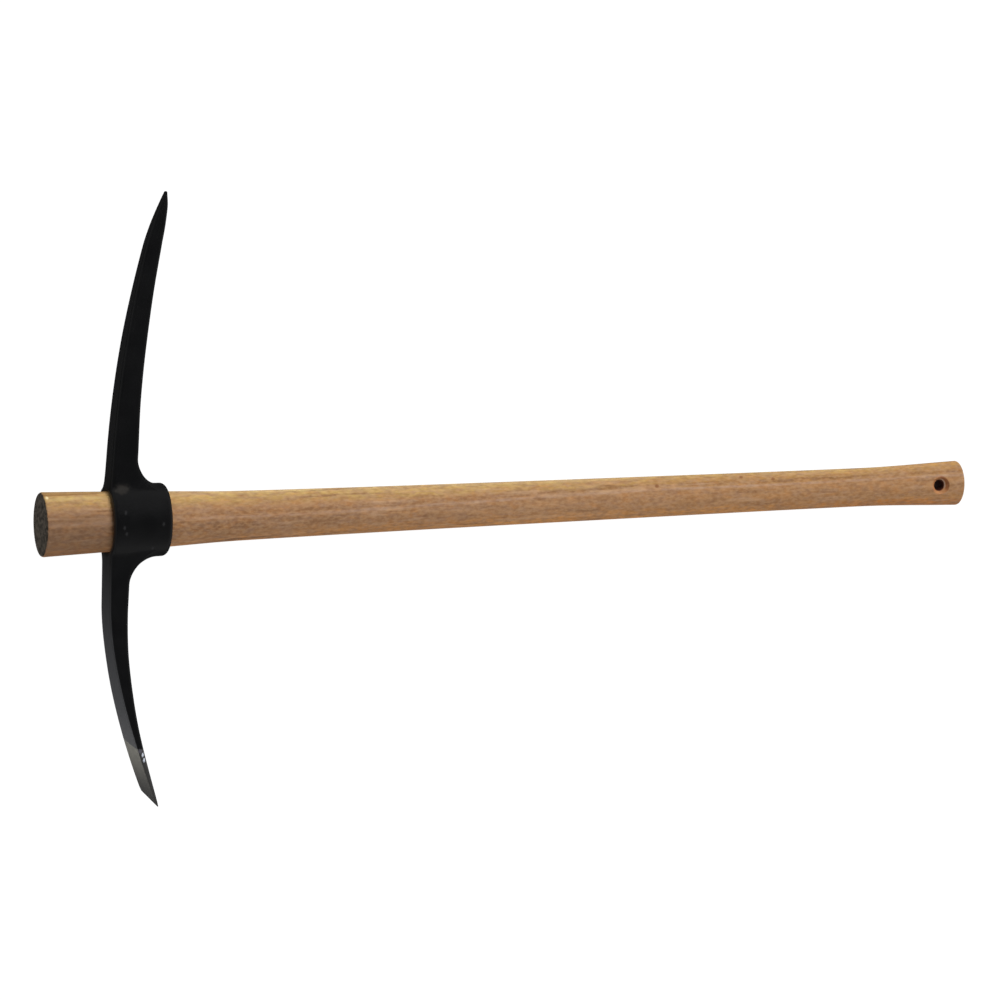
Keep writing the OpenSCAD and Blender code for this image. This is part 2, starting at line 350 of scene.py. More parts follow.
def on_oval(plan):
    """Points of a plan in X and Y lifted onto the upper side of the handle's oval."""
    height = smooth(HANDLE_STOPS, plan[..., 0])
    lift = np.sqrt(1 - (2 * plan[..., 1] / height) ** 2)
    return np.concatenate([plan, (OVAL_SHARE * height / 2 * lift)[..., None]], -1)


def countersink_rim(direction, floor_z):
    """The loop where the countersink's cone meets the oval: its radius is the hole's radius plus the
    flare times the height of the surface over the cone's foot, found by repeating that step."""
    radius = np.full((len(direction), 1), 2 * HOLE_RADIUS)
    centre = np.array([HOLE_X, 0])
    for step in range(RIM_STEPS):
        rim = on_oval(centre + radius * direction)
        radius = HOLE_RADIUS + COUNTERSINK_FLARE * (rim[:, 2:] - floor_z)
    return rim


def rounded(start, corner, end):
    """Rows of a parabola from start to end that has its corner between them."""
    t = np.linspace(0, 1, SOFT_EDGE_ROWS + 1)[:, None, None]
    return start * (1 - t) ** 2 + 2 * corner * t * (1 - t) + end * t**2


def hole_loops(opening):
    """Rows from the opening in the handle's upper side down to the middle of the hang hole: along the
    oval to the rim, over a soft edge, down the cone, over a second soft edge and down the bore."""
    centre = np.array([HOLE_X, 0, 0])
    floor_z = OVAL_SHARE * smooth(HANDLE_STOPS, HOLE_X) / 2 - COUNTERSINK_DEPTH
    out = opening[:, :2] - centre[:2]
    direction = out / np.linalg.norm(out, axis=1, keepdims=True)
    rim = countersink_rim(direction, floor_z)
    ring = np.concatenate([direction, 0 * direction[:, :1]], 1)
    middle = centre + HOLE_RADIUS * ring
    foot = middle + [0, 0, floor_z]
    lip = on_oval(rim[:, :2] + HOLE_SOFTNESS * direction)
    slope = (foot - rim) / np.linalg.norm(foot - rim, axis=1, keepdims=True)
    down = np.array([0, 0, -HOLE_SOFTNESS])
    t = np.linspace(0, 1, HOLE_ROWS + 1)[:, None, None]
    along = on_oval(opening[:, :2] + (lip - opening)[:, :2] * t)
    first_edge = rounded(lip, rim, rim + HOLE_SOFTNESS * slope)
    second_edge = rounded(foot - HOLE_SOFTNESS * slope, foot, foot + down)
    bore = foot + down + (middle - foot - down) * t[2::2]
    return np.concatenate([along[:-1], first_edge, second_edge, bore])


def make_handle():
    """The handle's tube of ovals, with an opening above and below the hang hole that rows of loops
    close down to the bore."""
    x, height = handle_rings()
    angle = np.linspace(0, 2 * math.pi, HANDLE_COLUMNS + 1)
    tube = oval(x[:, None], height[:, None], OVAL_SHARE * height[:, None], angle)
    keep = all_cells(tube)
    row = int(np.argmin(np.abs(x - (HOLE_X - HOLE_OPENING))))
    rows = (row, row + HOLE_OPENING_ROWS)
    top = HANDLE_COLUMNS // 4
    columns = (top - HOLE_OPENING_COLUMNS, top + HOLE_OPENING_COLUMNS)
    for turn in (0, HANDLE_COLUMNS // 2):
        keep[rows[0] : rows[1], columns[0] + turn : columns[1] + turn] = False
    upper = closed(hole_loops(rim_of(tube, rows, columns)))
    lower = upper * [1, 1, -1]
    grids = [(tube, keep), (upper, all_cells(upper)), (lower, all_cells(lower))]
    return surface("handle_shaft", grids, {})


def collar_inset(x):
    """How far a rounded rim draws the collar in at x: a quarter circle at each end."""
    near = x < (EYE_X + EYE_END_X) / 2
    radius = np.where(near, COLLAR_ROUND, COLLAR_END_ROUND)
    rise = np.clip(np.where(near, x - EYE_X, EYE_END_X - x), 0, radius)
    return radius - np.sqrt(radius**2 - (radius - rise) ** 2)


def collar_rows():
    """Places along the outside of the collar: bunched at both ends of the arms' roots, which start at
    the butt rim, and on round the grip rim."""
    root = EYE_X + (ROOT_END_X - EYE_X) * (bunched(ROOT_ROWS) + 1) / 2
    rest = np.linspace(ROOT_END_X, EYE_END_X - COLLAR_END_ROUND, COLLAR_REST_ROWS + 1)[1:]
    turn = np.linspace(0, math.pi / 2, COLLAR_END_ROWS + 1)[1:]
    end = EYE_END_X - COLLAR_END_ROUND * (1 - np.sin(turn))
    return np.concatenate([root, rest, end])


def eye_rows():
    """Ovals of the eye from the grip mouth to the butt mouth: the handle's own oval with the
    clearance added, opened by a flare at each mouth."""
    lead = EYE_LEAD * np.linspace(0, 1, EYE_LEAD_ROWS + 1)[:-1]
    inside = np.linspace(EYE_END_X - EYE_LEAD, EYE_X + EYE_LEAD, EYE_RINGS)
    x = np.concatenate([EYE_END_X - lead, inside, EYE_X + lead[::-1]])
    mouth = np.maximum(0, EYE_LEAD - np.minimum(x - EYE_X, EYE_END_X - x))
    height = smooth(HANDLE_STOPS, x)
    grow = 2 * (EYE_CLEARANCE + mouth)
    return x, height + grow, OVAL_SHARE * height + grow


def collar_angles():
    """Angles round the collar: bunched across the root of each arm and even along the two sides."""
    root = bunched(ROOT_COLUMNS)[:-1]
    side = np.linspace(POINT_TURN, math.pi - CHISEL_TURN, SIDE_COLUMNS + 1)
    other = 2 * math.pi - side[::-1]
    return np.concatenate([POINT_TURN * root, side[:-1], math.pi + CHISEL_TURN * root, other])


def collar_grid():
    """The collar as a closed tube of ovals: along its outside, in across the grip face, back through
    the eye and out across the butt face."""
    x = collar_rows()
    t = (x - EYE_X) / (EYE_END_X - EYE_X)
    inset = 2 * collar_inset(x)
    height, width = (
        first + (last - first) * t - inset for first, last in (COLLAR_HEIGHTS, COLLAR_WIDTHS)
    )
    outside = np.stack([x, height, width])
    tube = np.concatenate([outside, eye_rows(), outside[:, :1]], 1)
    return oval(*tube[:, :, None], collar_angles())


def grown(s, start_share, curl, full):
    """A size that grows along an arm from 0 at the start share to its full value at the end: a power
    of the share of the way between them."""
    return full * np.maximum(0, (s - start_share) / (1 - start_share)) ** curl


def point_section(s):
    """Outer face, depth, thickness and skew of the point arm at share s of its reach."""
    sweep = grown(s, 0, POINT_CURL, POINT_SWEEP) + grown(s, BEAK_SHARE, BEAK_CURL, BEAK_HOOK)
    outer = EYE_X + ARM_SETBACK + s * POINT_REACH * ARM_LEAN + sweep
    depth = POINT_DEPTH * smooth(POINT_DEPTH_SHARES, s)
    thickness = POINT_THICKNESS * smooth(POINT_THICKNESS_SHARES, s)
    return outer, depth, thickness, 0 * s


def chisel_section(s):
    """Outer face, depth, thickness and skew of the chisel arm at share s of its reach. A small bevel
    on both faces sharpens the last few millimetres."""
    sweep = grown(s, CHISEL_STRAIGHT_SHARE, CHISEL_CURL, CHISEL_SWEEP)
    bevel = grown(s, EDGE_BEVEL_SHARE, 1, EDGE_BEVEL)
    outer = EYE_X + ARM_SETBACK - s * CHISEL_REACH * ARM_LEAN + sweep + bevel
    taper = (CHISEL_DEPTH - EDGE_THICKNESS) * smooth(CHISEL_DEPTH_SHARES, s)
    flare = (EDGE_WIDTH - CHISEL_THICKNESS) * smooth(CHISEL_THICKNESS_SHARES, s)
    skew = grown(s, GRIND_SHARE, 1, -EDGE_SKEW / EDGE_WIDTH)
    return outer, EDGE_THICKNESS + taper - 2 * bevel, CHISEL_THICKNESS + flare, skew


def arm_rings(section, s, reach, loop):
    """Rounded rectangles across an arm: a unit loop scaled to the section's depth and thickness, whose
    corners are drawn in to a circle, tilted by the skew."""
    outer, depth, thickness, skew = (value[:, None] for value in section(s))
    radius = np.minimum(ARM_ROUND, CORNER_SHARE * np.minimum(depth, thickness))
    across, up = loop[:, 0] * depth / 2, loop[:, 1] * thickness / 2
    core_x = np.clip(across, radius - depth / 2, depth / 2 - radius)
    core_z = np.clip(up, radius - thickness / 2, thickness / 2 - radius)
    out_x, out_z = across - core_x, up - core_z
    pull = radius / np.hypot(out_x, out_z)
    z = core_z + out_z * pull
    x = outer + depth / 2 + core_x + out_x * pull
    return np.stack([x, s[:, None] * reach + skew * z, z], -1)


def make_arm(collar, columns, section, reach, hug, shares, blunt):
    """An arm from the edge of its opening in the collar: cubic curves that leave along the collar's
    surface and join the arm's rounded rectangles, which run on to a domed end. Also how far along the
    arm each point of its outer face lies, as a share of the reach, and 0 on the other faces."""
    rows = (0, ROOT_ROWS)
    slopes = np.cross(np.gradient(collar, axis=0), np.gradient(collar, axis=1))
    normal = rim_of(slopes / np.linalg.norm(slopes, axis=-1, keepdims=True), rows, columns)
    opening = rim_of(collar, rows, columns)
    side = math.copysign(1, reach)
    unit = np.stack(np.meshgrid(bunched(ROOT_ROWS), side * bunched(ROOT_COLUMNS), indexing="ij"), -1)
    loop = rim_of(unit, rows, (0, ROOT_COLUMNS))
    first_share = FREE_Y / abs(reach)
    last_share = 1 - blunt / abs(reach)
    even = first_share + (last_share - first_share) * np.linspace(0, 1, ARM_ROWS)
    rings = arm_rings(section, np.unique(np.concatenate([even, shares])), reach, loop)
    ahead = arm_rings(section, np.array([first_share + LOOK_AHEAD_SHARE]), reach, loop)[0]
    tight = np.interp(loop[:, :1], HUG_STOPS, [OUTER_HUG, SIDE_HUG, SIDE_HUG, hug])
    chord = rings[0] - opening
    level = chord * [1, 0, 1]
    leave = tight * (level - (level * normal).sum(1, keepdims=True) * normal)
    join = tight * (ahead - rings[0]) / (LOOK_AHEAD_SHARE * reach) * chord[:, 1:2]
    t = np.linspace(0, 1, FILLET_ROWS + 1)[:-1, None, None]
    fillet = hermite(t, opening, leave, rings[0], join)
    cap = capped(rings[-1], np.array([0, side * blunt, 0]))
    points = np.concatenate([fillet, rings, cap])
    face = np.clip((OUTER_FACE_EDGE - loop[:, 0]) / OUTER_FACE_EASE, 0, 1)
    thin = np.abs(points[:, :, 1] / reach) * face
    return closed(points), closed(thin).ravel()


def make_head():
    """The forged head: the collar's tube with an opening at each end, and the two arms. The thin
    lacquer is marked on the chisel arm's outer face only."""
    collar = collar_grid()
    keep = all_cells(collar)
    point_columns = (0, ROOT_COLUMNS)
    chisel_columns = (ROOT_COLUMNS + SIDE_COLUMNS, 2 * ROOT_COLUMNS + SIDE_COLUMNS)
    for columns in (point_columns, chisel_columns):
        keep[:ROOT_ROWS, columns[0] : columns[1]] = False
    point, point_face = make_arm(
        collar, point_columns, point_section, POINT_REACH, POINT_HUG, [BEAK_SHARE], POINT_BLUNT
    )
    chisel, chisel_face = make_arm(
        collar, chisel_columns, chisel_section, -CHISEL_REACH, CHISEL_HUG,
        [GRIND_SHARE, EDGE_BEVEL_SHARE], CHISEL_BLUNT,
    )
    grids = [(collar, keep), (point, all_cells(point)), (chisel, all_cells(chisel))]
    thin = [0 * collar[:, :, 0].ravel(), 0 * point_face, chisel_face]
    return surface("head_forging", grids, {"thin_lacquer": thin})


def paint(red, green, blue):
    """A colour given in screen values from 0 to 255, as linear light with full alpha."""
    screen = np.array([red, green, blue]) / 255
    linear = np.where(screen <= 0.04045, screen / 12.92, ((screen + 0.055) / 1.055) ** 2.4)
    return (*linear.tolist(), 1.0)


def add(tree, kind, inputs, **settings):
    """A node with its settings and inputs: a socket is linked and any other value is set."""
    node = tree.nodes.new(kind)
    for name, value in settings.items():
        setattr(node, name, value)
    for name, value in inputs.items():
        if isinstance(value, bpy.types.NodeSocket):
            tree.links.new(value, node.inputs[name])
        else:
            node.inputs[name].default_value = value
    return node


def calc(tree, operation, *values):
    """The result of one sum on numbers."""
    return add(tree, "ShaderNodeMath", dict(enumerate(values)), operation=operation).outputs[0]


def both(tree, mask, other):
    """A mask times another mask, or times its share."""
    return calc(tree, "MULTIPLY", mask, other)


def vector(tree, operation, *values):
    """The vector that results from one sum on vectors."""
    return add(tree, "ShaderNodeVectorMath", dict(enumerate(values)), operation=operation).outputs[0]


def measure(tree, operation, *values):
    """The number that results from one sum on vectors."""
    return add(tree, "ShaderNodeVectorMath", dict(enumerate(values)), operation=operation).outputs["Value"]


def split(tree, value):
    """The three numbers of a vector, by their axes."""
    return add(tree, "ShaderNodeSeparateXYZ", {0: value}).outputs


def mixed(tree, factor, low, high):
    """The colour low where factor is 0 and high where it is 1."""
    return add(tree, "ShaderNodeMix", {0: factor, 6: low, 7: high}, data_type="RGBA").outputs[2]


def toned(tree, factor, tones):
    """The first of two screen colours where factor is 0 and the second where it is 1."""
    return mixed(tree, factor, paint(*tones[0]), paint(*tones[1]))


def between(tree, factor, low, high):
    """The number low where factor is 0 and high where it is 1."""
    return add(tree, "ShaderNodeMix", {0: factor, 2: low, 3: high}).outputs[0]


def band(tree, value, low, high):
    """Eases from 0 at low to 1 at high."""
    inputs = {0: value, 1: low, 2: high}
    return add(tree, "ShaderNodeMapRange", inputs, interpolation_type="SMOOTHSTEP").outputs[0]


def zone(tree, *bands):
    """The product of several bands, each given as its value, low and high."""
    masks = [band(tree, *ends) for ends in bands]
    return functools.reduce(functools.partial(both, tree), masks)


def layered(tree, colour, layers):
    """A colour with layers over it in order, each given as its mask, its share and its screen colour."""
    for mask, share, tint in layers:
        colour = mixed(tree, both(tree, mask, share), colour, paint(*tint))
    return colour


def group_of(name, sockets):
    """A node group with the given input sockets and one mask as its output, and its two ends."""
    group = bpy.data.node_groups.new(name, "ShaderNodeTree")
    for label, (kind, value) in sockets.items():
        socket = group.interface.new_socket(label, in_out="INPUT", socket_type="NodeSocket" + kind)
        socket.default_value = value
    group.interface.new_socket("Mask", in_out="OUTPUT", socket_type="NodeSocketFloat")
    given = group.nodes.new("NodeGroupInput").outputs
    return group, given, group.nodes.new("NodeGroupOutput").inputs["Mask"]


def marks_group():
    """Marks with a direction: noise at so many marks a metre along each axis, cut to a soft mask."""
    sockets = {
        "Place": ("Vector", (0, 0, 0)),
        "Per metre": ("Vector", (100, 100, 100)),
        "Shift": ("Float", 0),
        "Detail": ("Float", 2),
        "From": ("Float", 0.5),
        "To": ("Float", 0.7),
    }
    group, given, mask = group_of("directed_marks", sockets)
    place = vector(group, "MULTIPLY", given["Place"], given["Per metre"])
    inputs = {"Vector": place, "W": given["Shift"], "Scale": 1.0, "Detail": given["Detail"]}
    noise = add(group, "ShaderNodeTexNoise", inputs, noise_dimensions="4D").outputs[0]
    group.links.new(band(group, noise, given["From"], given["To"]), mask)
    return group


def spot_group():
    """A soft ragged spot round a place: 1 inside its size, fading out past it."""
    sockets = {
        "Place": ("Vector", (0, 0, 0)),
        "Middle": ("Vector", (0, 0, 0)),
        "Size": ("Vector", (0.001, 0.001, 0.001)),
        "Ragged": ("Float", 0.5),
    }
    group, given, mask = group_of("ragged_spot", sockets)
    off = vector(group, "DIVIDE", vector(group, "SUBTRACT", given["Place"], given["Middle"]), given["Size"])
    noise = add(group, "ShaderNodeTexNoise", {"Vector": off, "Scale": 1.7, "Detail": 3.0}).outputs[0]
    rough = both(group, calc(group, "SUBTRACT", noise, 0.5), given["Ragged"])
    edge = calc(group, "ADD", measure(group, "LENGTH", off), rough)
    group.links.new(band(group, edge, 1.0, 0.45), mask)
    return group


MARKS = marks_group()
SPOT = spot_group()


def marks(tree, place, per_metre, shift, low, high, detail=2.0):
    """Directed marks in a material."""
    inputs = {
        "Place": place, "Per metre": per_metre, "Shift": shift, "Detail": detail, "From": low, "To": high
    }
    return add(tree, "ShaderNodeGroup", inputs, node_tree=MARKS).outputs["Mask"]


def spots(tree, place, middles, size, ragged):
    """Ragged spots of one size at several places, as one mask. Middles and size are in millimetres."""
    masks = []
    for middle in middles:
        inputs = {
            "Place": place,
            "Middle": [value * MM for value in middle],
            "Size": [value * MM for value in size],
            "Ragged": ragged,
        }
        masks.append(add(tree, "ShaderNodeGroup", inputs, node_tree=SPOT).outputs["Mask"])
    return functools.reduce(functools.partial(calc, tree, "MAXIMUM"), masks)


def new_material(name):
    """A material, its nodes and its own Principled shader."""
    material = bpy.data.materials.new(name)
    material.use_nodes = True
    return material, material.node_tree, material.node_tree.nodes["Principled BSDF"]


def object_place(tree):
    """The place on the piece, in metres."""
    return tree.nodes.new("ShaderNodeTexCoord").outputs["Object"]


def bumped(tree, shader, height):
    """A fine relief of the given height."""
    inputs = {"Height": height, "Distance": RELIEF_DEPTH, "Strength": RELIEF_STRENGTH}
    node = add(tree, "ShaderNodeBump", inputs)
    tree.links.new(node.outputs["Normal"], shader.inputs["Normal"])


def wood_fibre(tree, place):
    """The place on the piece, swayed across the handle by slow noise."""
    slow = vector(tree, "MULTIPLY", place, SWAY_PER_METRE)
    drift = add(tree, "ShaderNodeTexNoise", {"Vector": slow, "Scale": 1.0}).outputs["Color"]
    sway = vector(tree, "SUBTRACT", drift, (0.5, 0.5, 0.5))
    return vector(tree, "ADD", place, vector(tree, "MULTIPLY", sway, SWAY))


def wood_zones(tree, x, side):
    """Layers of the wood's zones along X and round the oval, where side is 1 toward the point."""
    return [
        # Brown toward the grip, and pale sapwood along the upper edge.
        (band(tree, x, 0.45, 0.65), 0.3, (176, 126, 70)),
        (band(tree, side, 0.72, 0.92), 0.45, (222, 191, 112)),
        # A painted highlight brightens the upper edge near the head, and it is browner below toward the
        # grip.
        (zone(tree, (x, 0.62, 0.45), (side, 0.88, 1.0)), 0.5, (250, 226, 166)),
        (zone(tree, (x, 0.45, 0.62), (side, 0.42, 0.6), (side, 1.0, 0.9)), 0.35, (162, 110, 56)),
        # The lower edge is warm, more widely so past the head.
        (band(tree, side, -0.62, -0.95), 0.85, (229, 152, 82)),
        (zone(tree, (x, 0.14, 0.32), (side, -0.38, -0.74)), 0.55, (237, 164, 86)),
        # Both edges of the grip are darker.
        (zone(tree, (x, 0.7, 0.82), (side, -0.55, -0.75)), 0.6, (208, 122, 48)),
        (zone(tree, (x, 0.79, 0.86), (side, 0.8, 0.97)), 0.5, (196, 136, 58)),
        # Painted shade darkens the wood below the middle near the head.
        (zone(tree, (x, 0.4, 0.16), (side, 0.03, -0.1), (side, -0.75, -0.3)), 0.75, (104, 75, 57)),
    ]


def growth_and_highlight_lines(tree, fibre, x, side):
    """Layers of a broken dark growth line and a pale painted highlight line under it, which climb the
    oval along X.
    """
    climb = between(tree, band(tree, x, 0.2, 0.62), 0.04, 0.42)
    growth = calc(tree, "SUBTRACT", side, climb)
    broken = marks(tree, fibre, (45, 300, 300), 3.8, 0.3, 0.65)
    dark_line = zone(tree, (growth, 0.08, 0.17), (growth, 0.34, 0.24))
    # The pale line is a painted highlight, a sheen that runs along the handle.
    painted_highlight_line = zone(tree, (growth, -0.09, 0.0), (growth, 0.12, 0.03))
    return [
        (both(tree, dark_line, between(tree, broken, 0.1, 1.2)), 0.58, (112, 77, 48)),
        (both(tree, painted_highlight_line, between(tree, broken, 1.0, 0.5)), 0.14, (255, 250, 255)),
    ]


def wood_grain(tree, fibre):
    """Layers of broad bands, warm and cool flecks, dark and pale streaks and a mottle along the fibre."""
    return [
        (marks(tree, fibre, (9, 100, 100), 4.1, 0.35, 0.7), 0.4, (146, 106, 76)),
        (marks(tree, fibre, (110, 260, 260), 9.4, 0.42, 0.68), 0.42, (188, 130, 76)),
        (marks(tree, fibre, (110, 260, 260), 6.6, 0.42, 0.68), 0.42, (152, 126, 110)),
        (marks(tree, fibre, (22, 240, 240), 1.3, 0.54, 0.72), 0.65, (116, 82, 58)),
        (marks(tree, fibre, (18, 260, 260), 8.3, 0.54, 0.72), 0.45, (200, 164, 132)),
        (marks(tree, fibre, (170, 380, 380), 7.7, 0.3, 0.7, 3.0), 0.5, (134, 96, 66)),
    ]


def butt_marks_and_highlights(tree, place, along, side):
    """Layers of the butt: darker toward the chisel side, a smudge, a brown crest along the upper edge,
    and a pale line under it and a glint, which are painted highlights."""
    butt = (along["X"], 0.075, 0.045)
    y = along["Y"]
    return [
        (zone(tree, butt, (y, 0.027, -0.006)), 0.45, (92, 71, 58)),
        (zone(tree, butt, (side, 0.05, 0.16), (side, 0.45, 0.28)), 0.18, (92, 71, 58)),
        (zone(tree, butt, (y, 0.0243, 0.0258)), 0.6, (136, 98, 50)),
        # A pale line under the crest and a glint on the edge are painted highlights.
        (zone(tree, butt, (y, 0.0205, 0.0226), (y, 0.0243, 0.0232)), 0.25, (222, 198, 134)),
        (spots(tree, place, BUTT_GLINT, BUTT_GLINT_SIZE, 0.4), 0.6, (248, 230, 184)),
    ]


def hole_tint_and_painted_light(tree, place):
    """Layers of the hang hole by the distance from its bore: a warm countersink, on one side a painted
    sheen on the lip and painted shade on the rim, and painted shade in the bore."""
    off_axis = vector(tree, "MULTIPLY", vector(tree, "SUBTRACT", place, (HOLE_X, 0, 0)), (1, 1, 0))
    out = calc(tree, "SUBTRACT", measure(tree, "LENGTH", off_axis), HOLE_RADIUS)
    toward = measure(tree, "DOT_PRODUCT", off_axis, HOLE_PAINTED_LIGHT_SIDE)
    painted_side = (toward, 0.4 * HOLE_RADIUS, 1.1 * HOLE_RADIUS)
    painted_sheen_lip = zone(tree, painted_side, (out, 0, 0.5 * MM), (out, 1.6 * MM, 0.9 * MM))
    painted_shade_rim = zone(tree, painted_side, (out, 1 * MM, 2.2 * MM), (out, 4.6 * MM, 3.4 * MM))
    return [
        (band(tree, out, 4.5 * MM, 3 * MM), 0.4, (186, 118, 70)),
        # A painted sheen on the lip, and painted shade on the rim beside it.
        (painted_sheen_lip, 0.7, (206, 184, 166)),
        (painted_shade_rim, 0.5, (122, 66, 38)),
        # Painted shade darkens the bore.
        (band(tree, out, 0.9 * MM, 0), 1.0, (84, 48, 38)),
    ]


def sealed_butt(tree, place, x):
    """The mask, with a ragged edge, and the colour of the dark sealed butt face with its flecks."""
    grime = marks(tree, place, (190, 280, 210), 3.3, 0.3, 0.7, 3.0)
    fleck = marks(tree, place, (190, 260, 230), 5.2, 0.55, 0.66)
    edge = calc(tree, "ADD", x, both(tree, grime, 0.5 * MM))
    colour = layered(tree, toned(tree, grime, SEAL_TONES), [(fleck, 0.7, (32, 27, 22))])
    return band(tree, edge, 1.6 * MM, 0.7 * MM), colour


def hardwood():
    """Oiled hardwood along X. Round the oval it goes from yellow sapwood toward the point side, over a
    dark growth line and a pale painted highlight line, to brown heartwood with painted shade below the
    middle near the head and warm at its lower edge. It carries streaks, a fine mottle, pores, a few pin
    knots, a butt darker toward the chisel side with a painted highlight line and glint, a hang hole with
    a painted sheen on its lip and painted shade on its rim and in its bore, and a dark sealed butt face."""
    material, tree, shader = new_material("oiled_hardwood")
    place = object_place(tree)
    along = split(tree, place)
    fibre = wood_fibre(tree, place)
    outward = vector(tree, "NORMALIZE", vector(tree, "MULTIPLY", fibre, (0, 1, 1 / OVAL_SHARE)))
    side = split(tree, outward)["Y"]
    speckle = marks(tree, fibre, (220, 420, 420), 2.9, 0.35, 0.7)
    pore = marks(tree, fibre, (130, 2400, 2400), 5.5, 0.55, 0.75, 1.0)
    knot = spots(tree, place, PIN_KNOTS, PIN_KNOT_SIZE, 0.8)
    layers = [
        *wood_zones(tree, along["X"], side),
        *growth_and_highlight_lines(tree, fibre, along["X"], side),
        *wood_grain(tree, fibre),
        (speckle, 0.35, (196, 158, 118)),
        (pore, 0.16, (108, 76, 50)),
        (knot, 0.6, (118, 66, 34)),
        *butt_marks_and_highlights(tree, place, along, side),
        *hole_tint_and_painted_light(tree, place),
    ]
    wood = layered(tree, toned(tree, band(tree, side, 0.4, 0.72), WOOD_TONES), layers)
    seal, sealed = sealed_butt(tree, place, along["X"])
    tree.links.new(mixed(tree, seal, wood, sealed), shader.inputs["Base Color"])
    oiled = between(tree, pore, 0.5, 0.62)
    tree.links.new(between(tree, seal, oiled, 0.8), shader.inputs["Roughness"])
    shader.inputs["Specular IOR Level"].default_value = 0.12
    bumped(tree, shader, calc(tree, "SUBTRACT", both(tree, speckle, 0.3), pore))
    return material


def lacquer_coat(tree, place, thin):
    """Colour, roughness and relief of the black satin lacquer: rubbed and then worn where it is thin,
    with a paler patch that is a painted highlight, and scuffs."""
    blotch = marks(tree, place, (45, 45, 45), 6.2, 0.3, 0.7, 3.0)
    pitted = marks(tree, place, (700, 700, 700), 8.4, 0.35, 0.75, 3.0)
    scuffed = spots(tree, place, SCUFFS, SCUFF_SIZE, 1.4)
    layers = [
        (band(tree, thin, -0.06, 0.8), 0.62, (99, 100, 103)),
        (band(tree, thin, 0.6, 0.85), 0.25, (140, 139, 140)),
        # A paler patch on the collar is a painted highlight.
        (spots(tree, place, GLOSS_HIGHLIGHT, GLOSS_HIGHLIGHT_SIZE, 1.2), 0.6, (48, 45, 42)),
        (scuffed, 0.2, (84, 84, 86)),
    ]
    colour = layered(tree, toned(tree, blotch, LACQUER_TONES), layers)
    rough = calc(tree, "ADD", between(tree, blotch, 0.32, 0.42), both(tree, scuffed, 0.2))
    return colour, rough, calc(tree, "ADD", both(tree, pitted, 0.35), blotch)


def ground_steel(tree, place, y, thin):
    """Colour, roughness, relief and metal share of the bare ground end: stained, darker toward the edge
    and off the outer face, with a dim patch and bright spots that are painted glints."""
    grind = marks(tree, place, (1800, 40, 1800), 3.7, 0.3, 0.75)
    flank_glint = spots(tree, place, FLANK_GLINT_SPOTS, FLANK_GLINT_SIZE, 1.0)
    layers = [
        (marks(tree, place, (70, 40, 70), 5.1, 0.35, 0.75, 3.0), 0.35, (118, 115, 112)),
        (band(tree, y, PAINT_LINE_Y, -CHISEL_REACH), 1.0, (82, 81, 80)),
        (band(tree, thin, 0.6, 0.3), 1.0, (70, 69, 68)),
        # A dim patch and bright spots on the flank are painted glints.
        (spots(tree, place, DIM_FLANK_GLINT, DIM_FLANK_GLINT_SIZE, 1.2), 0.6, (112, 110, 122)),
        (flank_glint, 1.0, (196, 202, 214)),
    ]
    colour = layered(tree, toned(tree, grind, STEEL_TONES), layers)
    metal = between(tree, flank_glint, 0.35, 0.0)
    return colour, between(tree, grind, 0.36, 0.48), both(tree, grind, 0.2), metal


def lacquered_steel():
    """Black satin lacquer over a forged surface, scuffed in places and rubbed thin on the chisel's outer
    face. It stops at a ragged line above the chisel's end, which is bare ground steel."""
    material, tree, shader = new_material("black_lacquered_steel")
    place = object_place(tree)
    along = split(tree, place)
    thin = add(tree, "ShaderNodeAttribute", {}, attribute_name="thin_lacquer").outputs["Fac"]
    ragged = marks(tree, place, (160, 160, 160), 1.1, 0.3, 0.7, 3.0)
    line = calc(tree, "ADD", along["Y"], both(tree, ragged, PAINT_LINE_RAGGED))
    line = calc(tree, "ADD", line, both(tree, along["Z"], PAINT_LINE_TILT))
    bare = band(tree, line, PAINT_LINE_Y + 0.4 * MM, PAINT_LINE_Y - 0.2 * MM)
    lacquer, satin, coat_relief = lacquer_coat(tree, place, thin)
    steel, ground, ground_relief, metal = ground_steel(tree, place, along["Y"], thin)
    tree.links.new(mixed(tree, bare, lacquer, steel), shader.inputs["Base Color"])
    tree.links.new(both(tree, bare, metal), shader.inputs["Metallic"])
    tree.links.new(between(tree, bare, satin, ground), shader.inputs["Roughness"])
    shader.inputs["Specular IOR Level"].default_value = 0.3
    bumped(tree, shader, between(tree, bare, coat_relief, ground_relief))
    return material


def studio_floor():
    """A plain pale floor under the part, lit from below like a light table, that its lacquer does not
    mirror."""
    material, tree, shader = new_material("pale_floor")
    shader.inputs["Base Color"].default_value = FLOOR_SHADE
    shader.inputs["Roughness"].default_value = 0.9
    shader.inputs["Specular IOR Level"].default_value = 0
    shader.inputs["Emission Color"].default_value = WHITE
    shader.inputs["Emission Strength"].default_value = 1.0
    half, level = FLOOR_HALF, cad_box[0].z
    corners = [(-half, -half, level), (half, -half, level), (half, half, level), (-half, half, level)]
    mesh = bpy.data.meshes.new("floor")
    mesh.from_pydata(corners, [], [(0, 1, 2, 3)])
    mesh.materials.append(material)
    floor = bpy.data.objects.new("floor", mesh)
    floor.visible_glossy = False
    bpy.context.scene.collection.objects.link(floor)


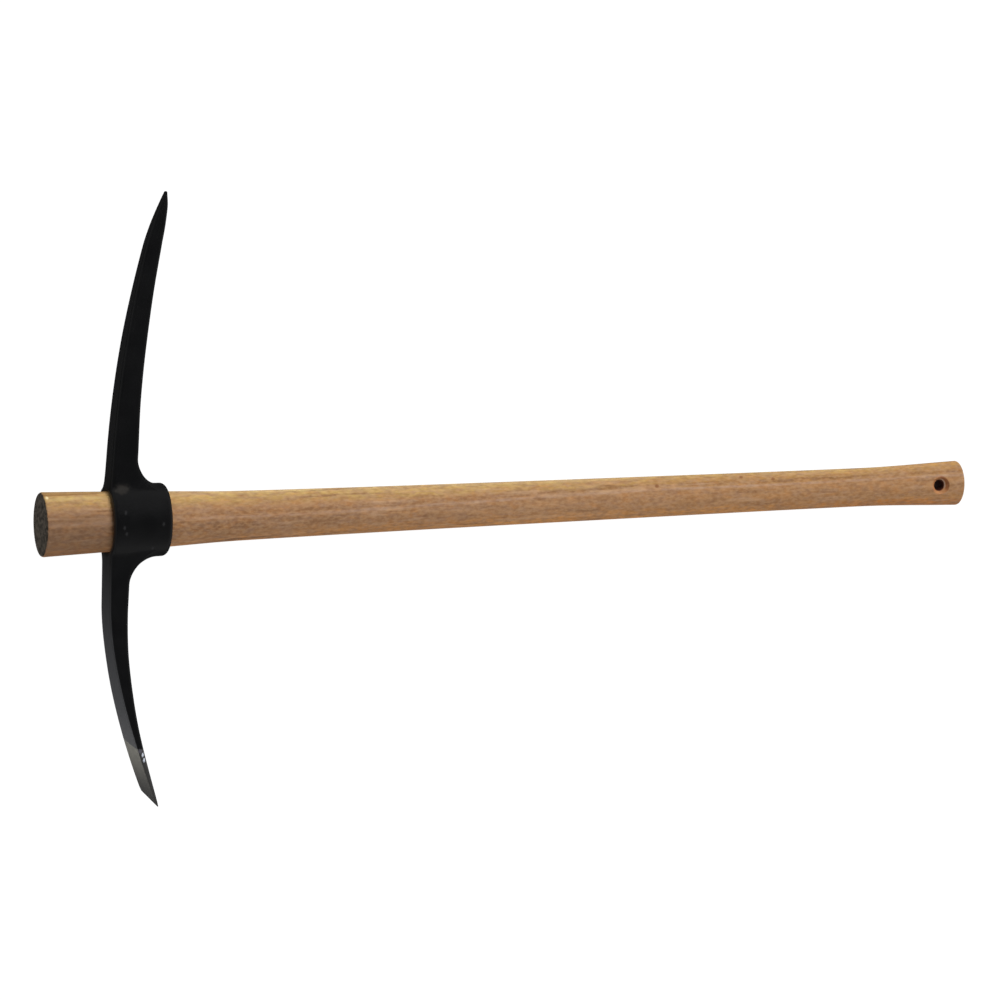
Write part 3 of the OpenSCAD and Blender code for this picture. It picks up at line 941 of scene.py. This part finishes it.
def sun(name, toward, strength, spread):
    """A wide, soft, even light that shines from the given direction and leaves no highlight."""
    light = bpy.data.lights.new(name, "SUN")
    light.energy = strength
    light.angle = math.radians(spread)
    lamp = bpy.data.objects.new(name, light)
    lamp.visible_glossy = False
    lamp.rotation_euler = Vector(toward).to_track_quat("Z", "Y").to_euler()
    bpy.context.scene.collection.objects.link(lamp)


def studio_light():
    """Soft light from above on the head's point side, a weak one from the other side, and a surround
    that is dark overhead, bright at the horizon and dim below it."""
    sun("key_light", toward=(0.35, 0.58, 0.735), strength=3.0, spread=40)
    sun("fill_light", toward=(-0.2, -0.8, 0.5), strength=0.6, spread=60)
    world = bpy.data.worlds.new("surround")
    world.use_nodes = True
    tree = world.node_tree
    direction = tree.nodes.new("ShaderNodeTexCoord").outputs["Generated"]
    rise = split(tree, direction)["Z"]
    above = between(tree, rise, HORIZON_LIGHT, OVERHEAD_LIGHT)
    dip = {0: rise, 1: BELOW_RISE, 2: 0.0, 3: BELOW_LIGHT, 4: HORIZON_LIGHT}
    below = add(tree, "ShaderNodeMapRange", dip).outputs[0]
    background = tree.nodes["Background"]
    tree.links.new(calc(tree, "MINIMUM", above, below), background.inputs["Strength"])
    background.inputs["Color"].default_value = WHITE
    bpy.context.scene.world = world
    bpy.context.scene.view_settings.view_transform = "Standard"


def photo_camera():
    """The camera at its place, aimed, rolled about its axis, with the photograph's angle of view."""
    data = bpy.data.cameras.new("camera")
    data.lens = CAMERA_LENS
    data.sensor_width = CAMERA_SENSOR
    forward = (CAMERA_AIM - CAMERA_PLACE).normalized()
    right = forward.cross(Vector((0, 1, 0))).normalized()
    turn = Matrix((right, right.cross(forward), -forward)).transposed().to_4x4()
    camera = bpy.data.objects.new("camera", data)
    camera.matrix_world = Matrix.Translation(CAMERA_PLACE) @ turn @ Matrix.Rotation(CAMERA_ROLL, 4, "Z")
    bpy.context.scene.collection.objects.link(camera)
    bpy.context.scene.camera = camera


def dress(piece, node, material):
    """Gives a piece its finish and puts it in its node's place."""
    piece.data.materials.append(material)
    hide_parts(node)
    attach(piece, node)


photo_camera()
studio_floor()
studio_light()
dress(make_handle(), "handle", hardwood())
dress(make_head(), "head", lacquered_steel())
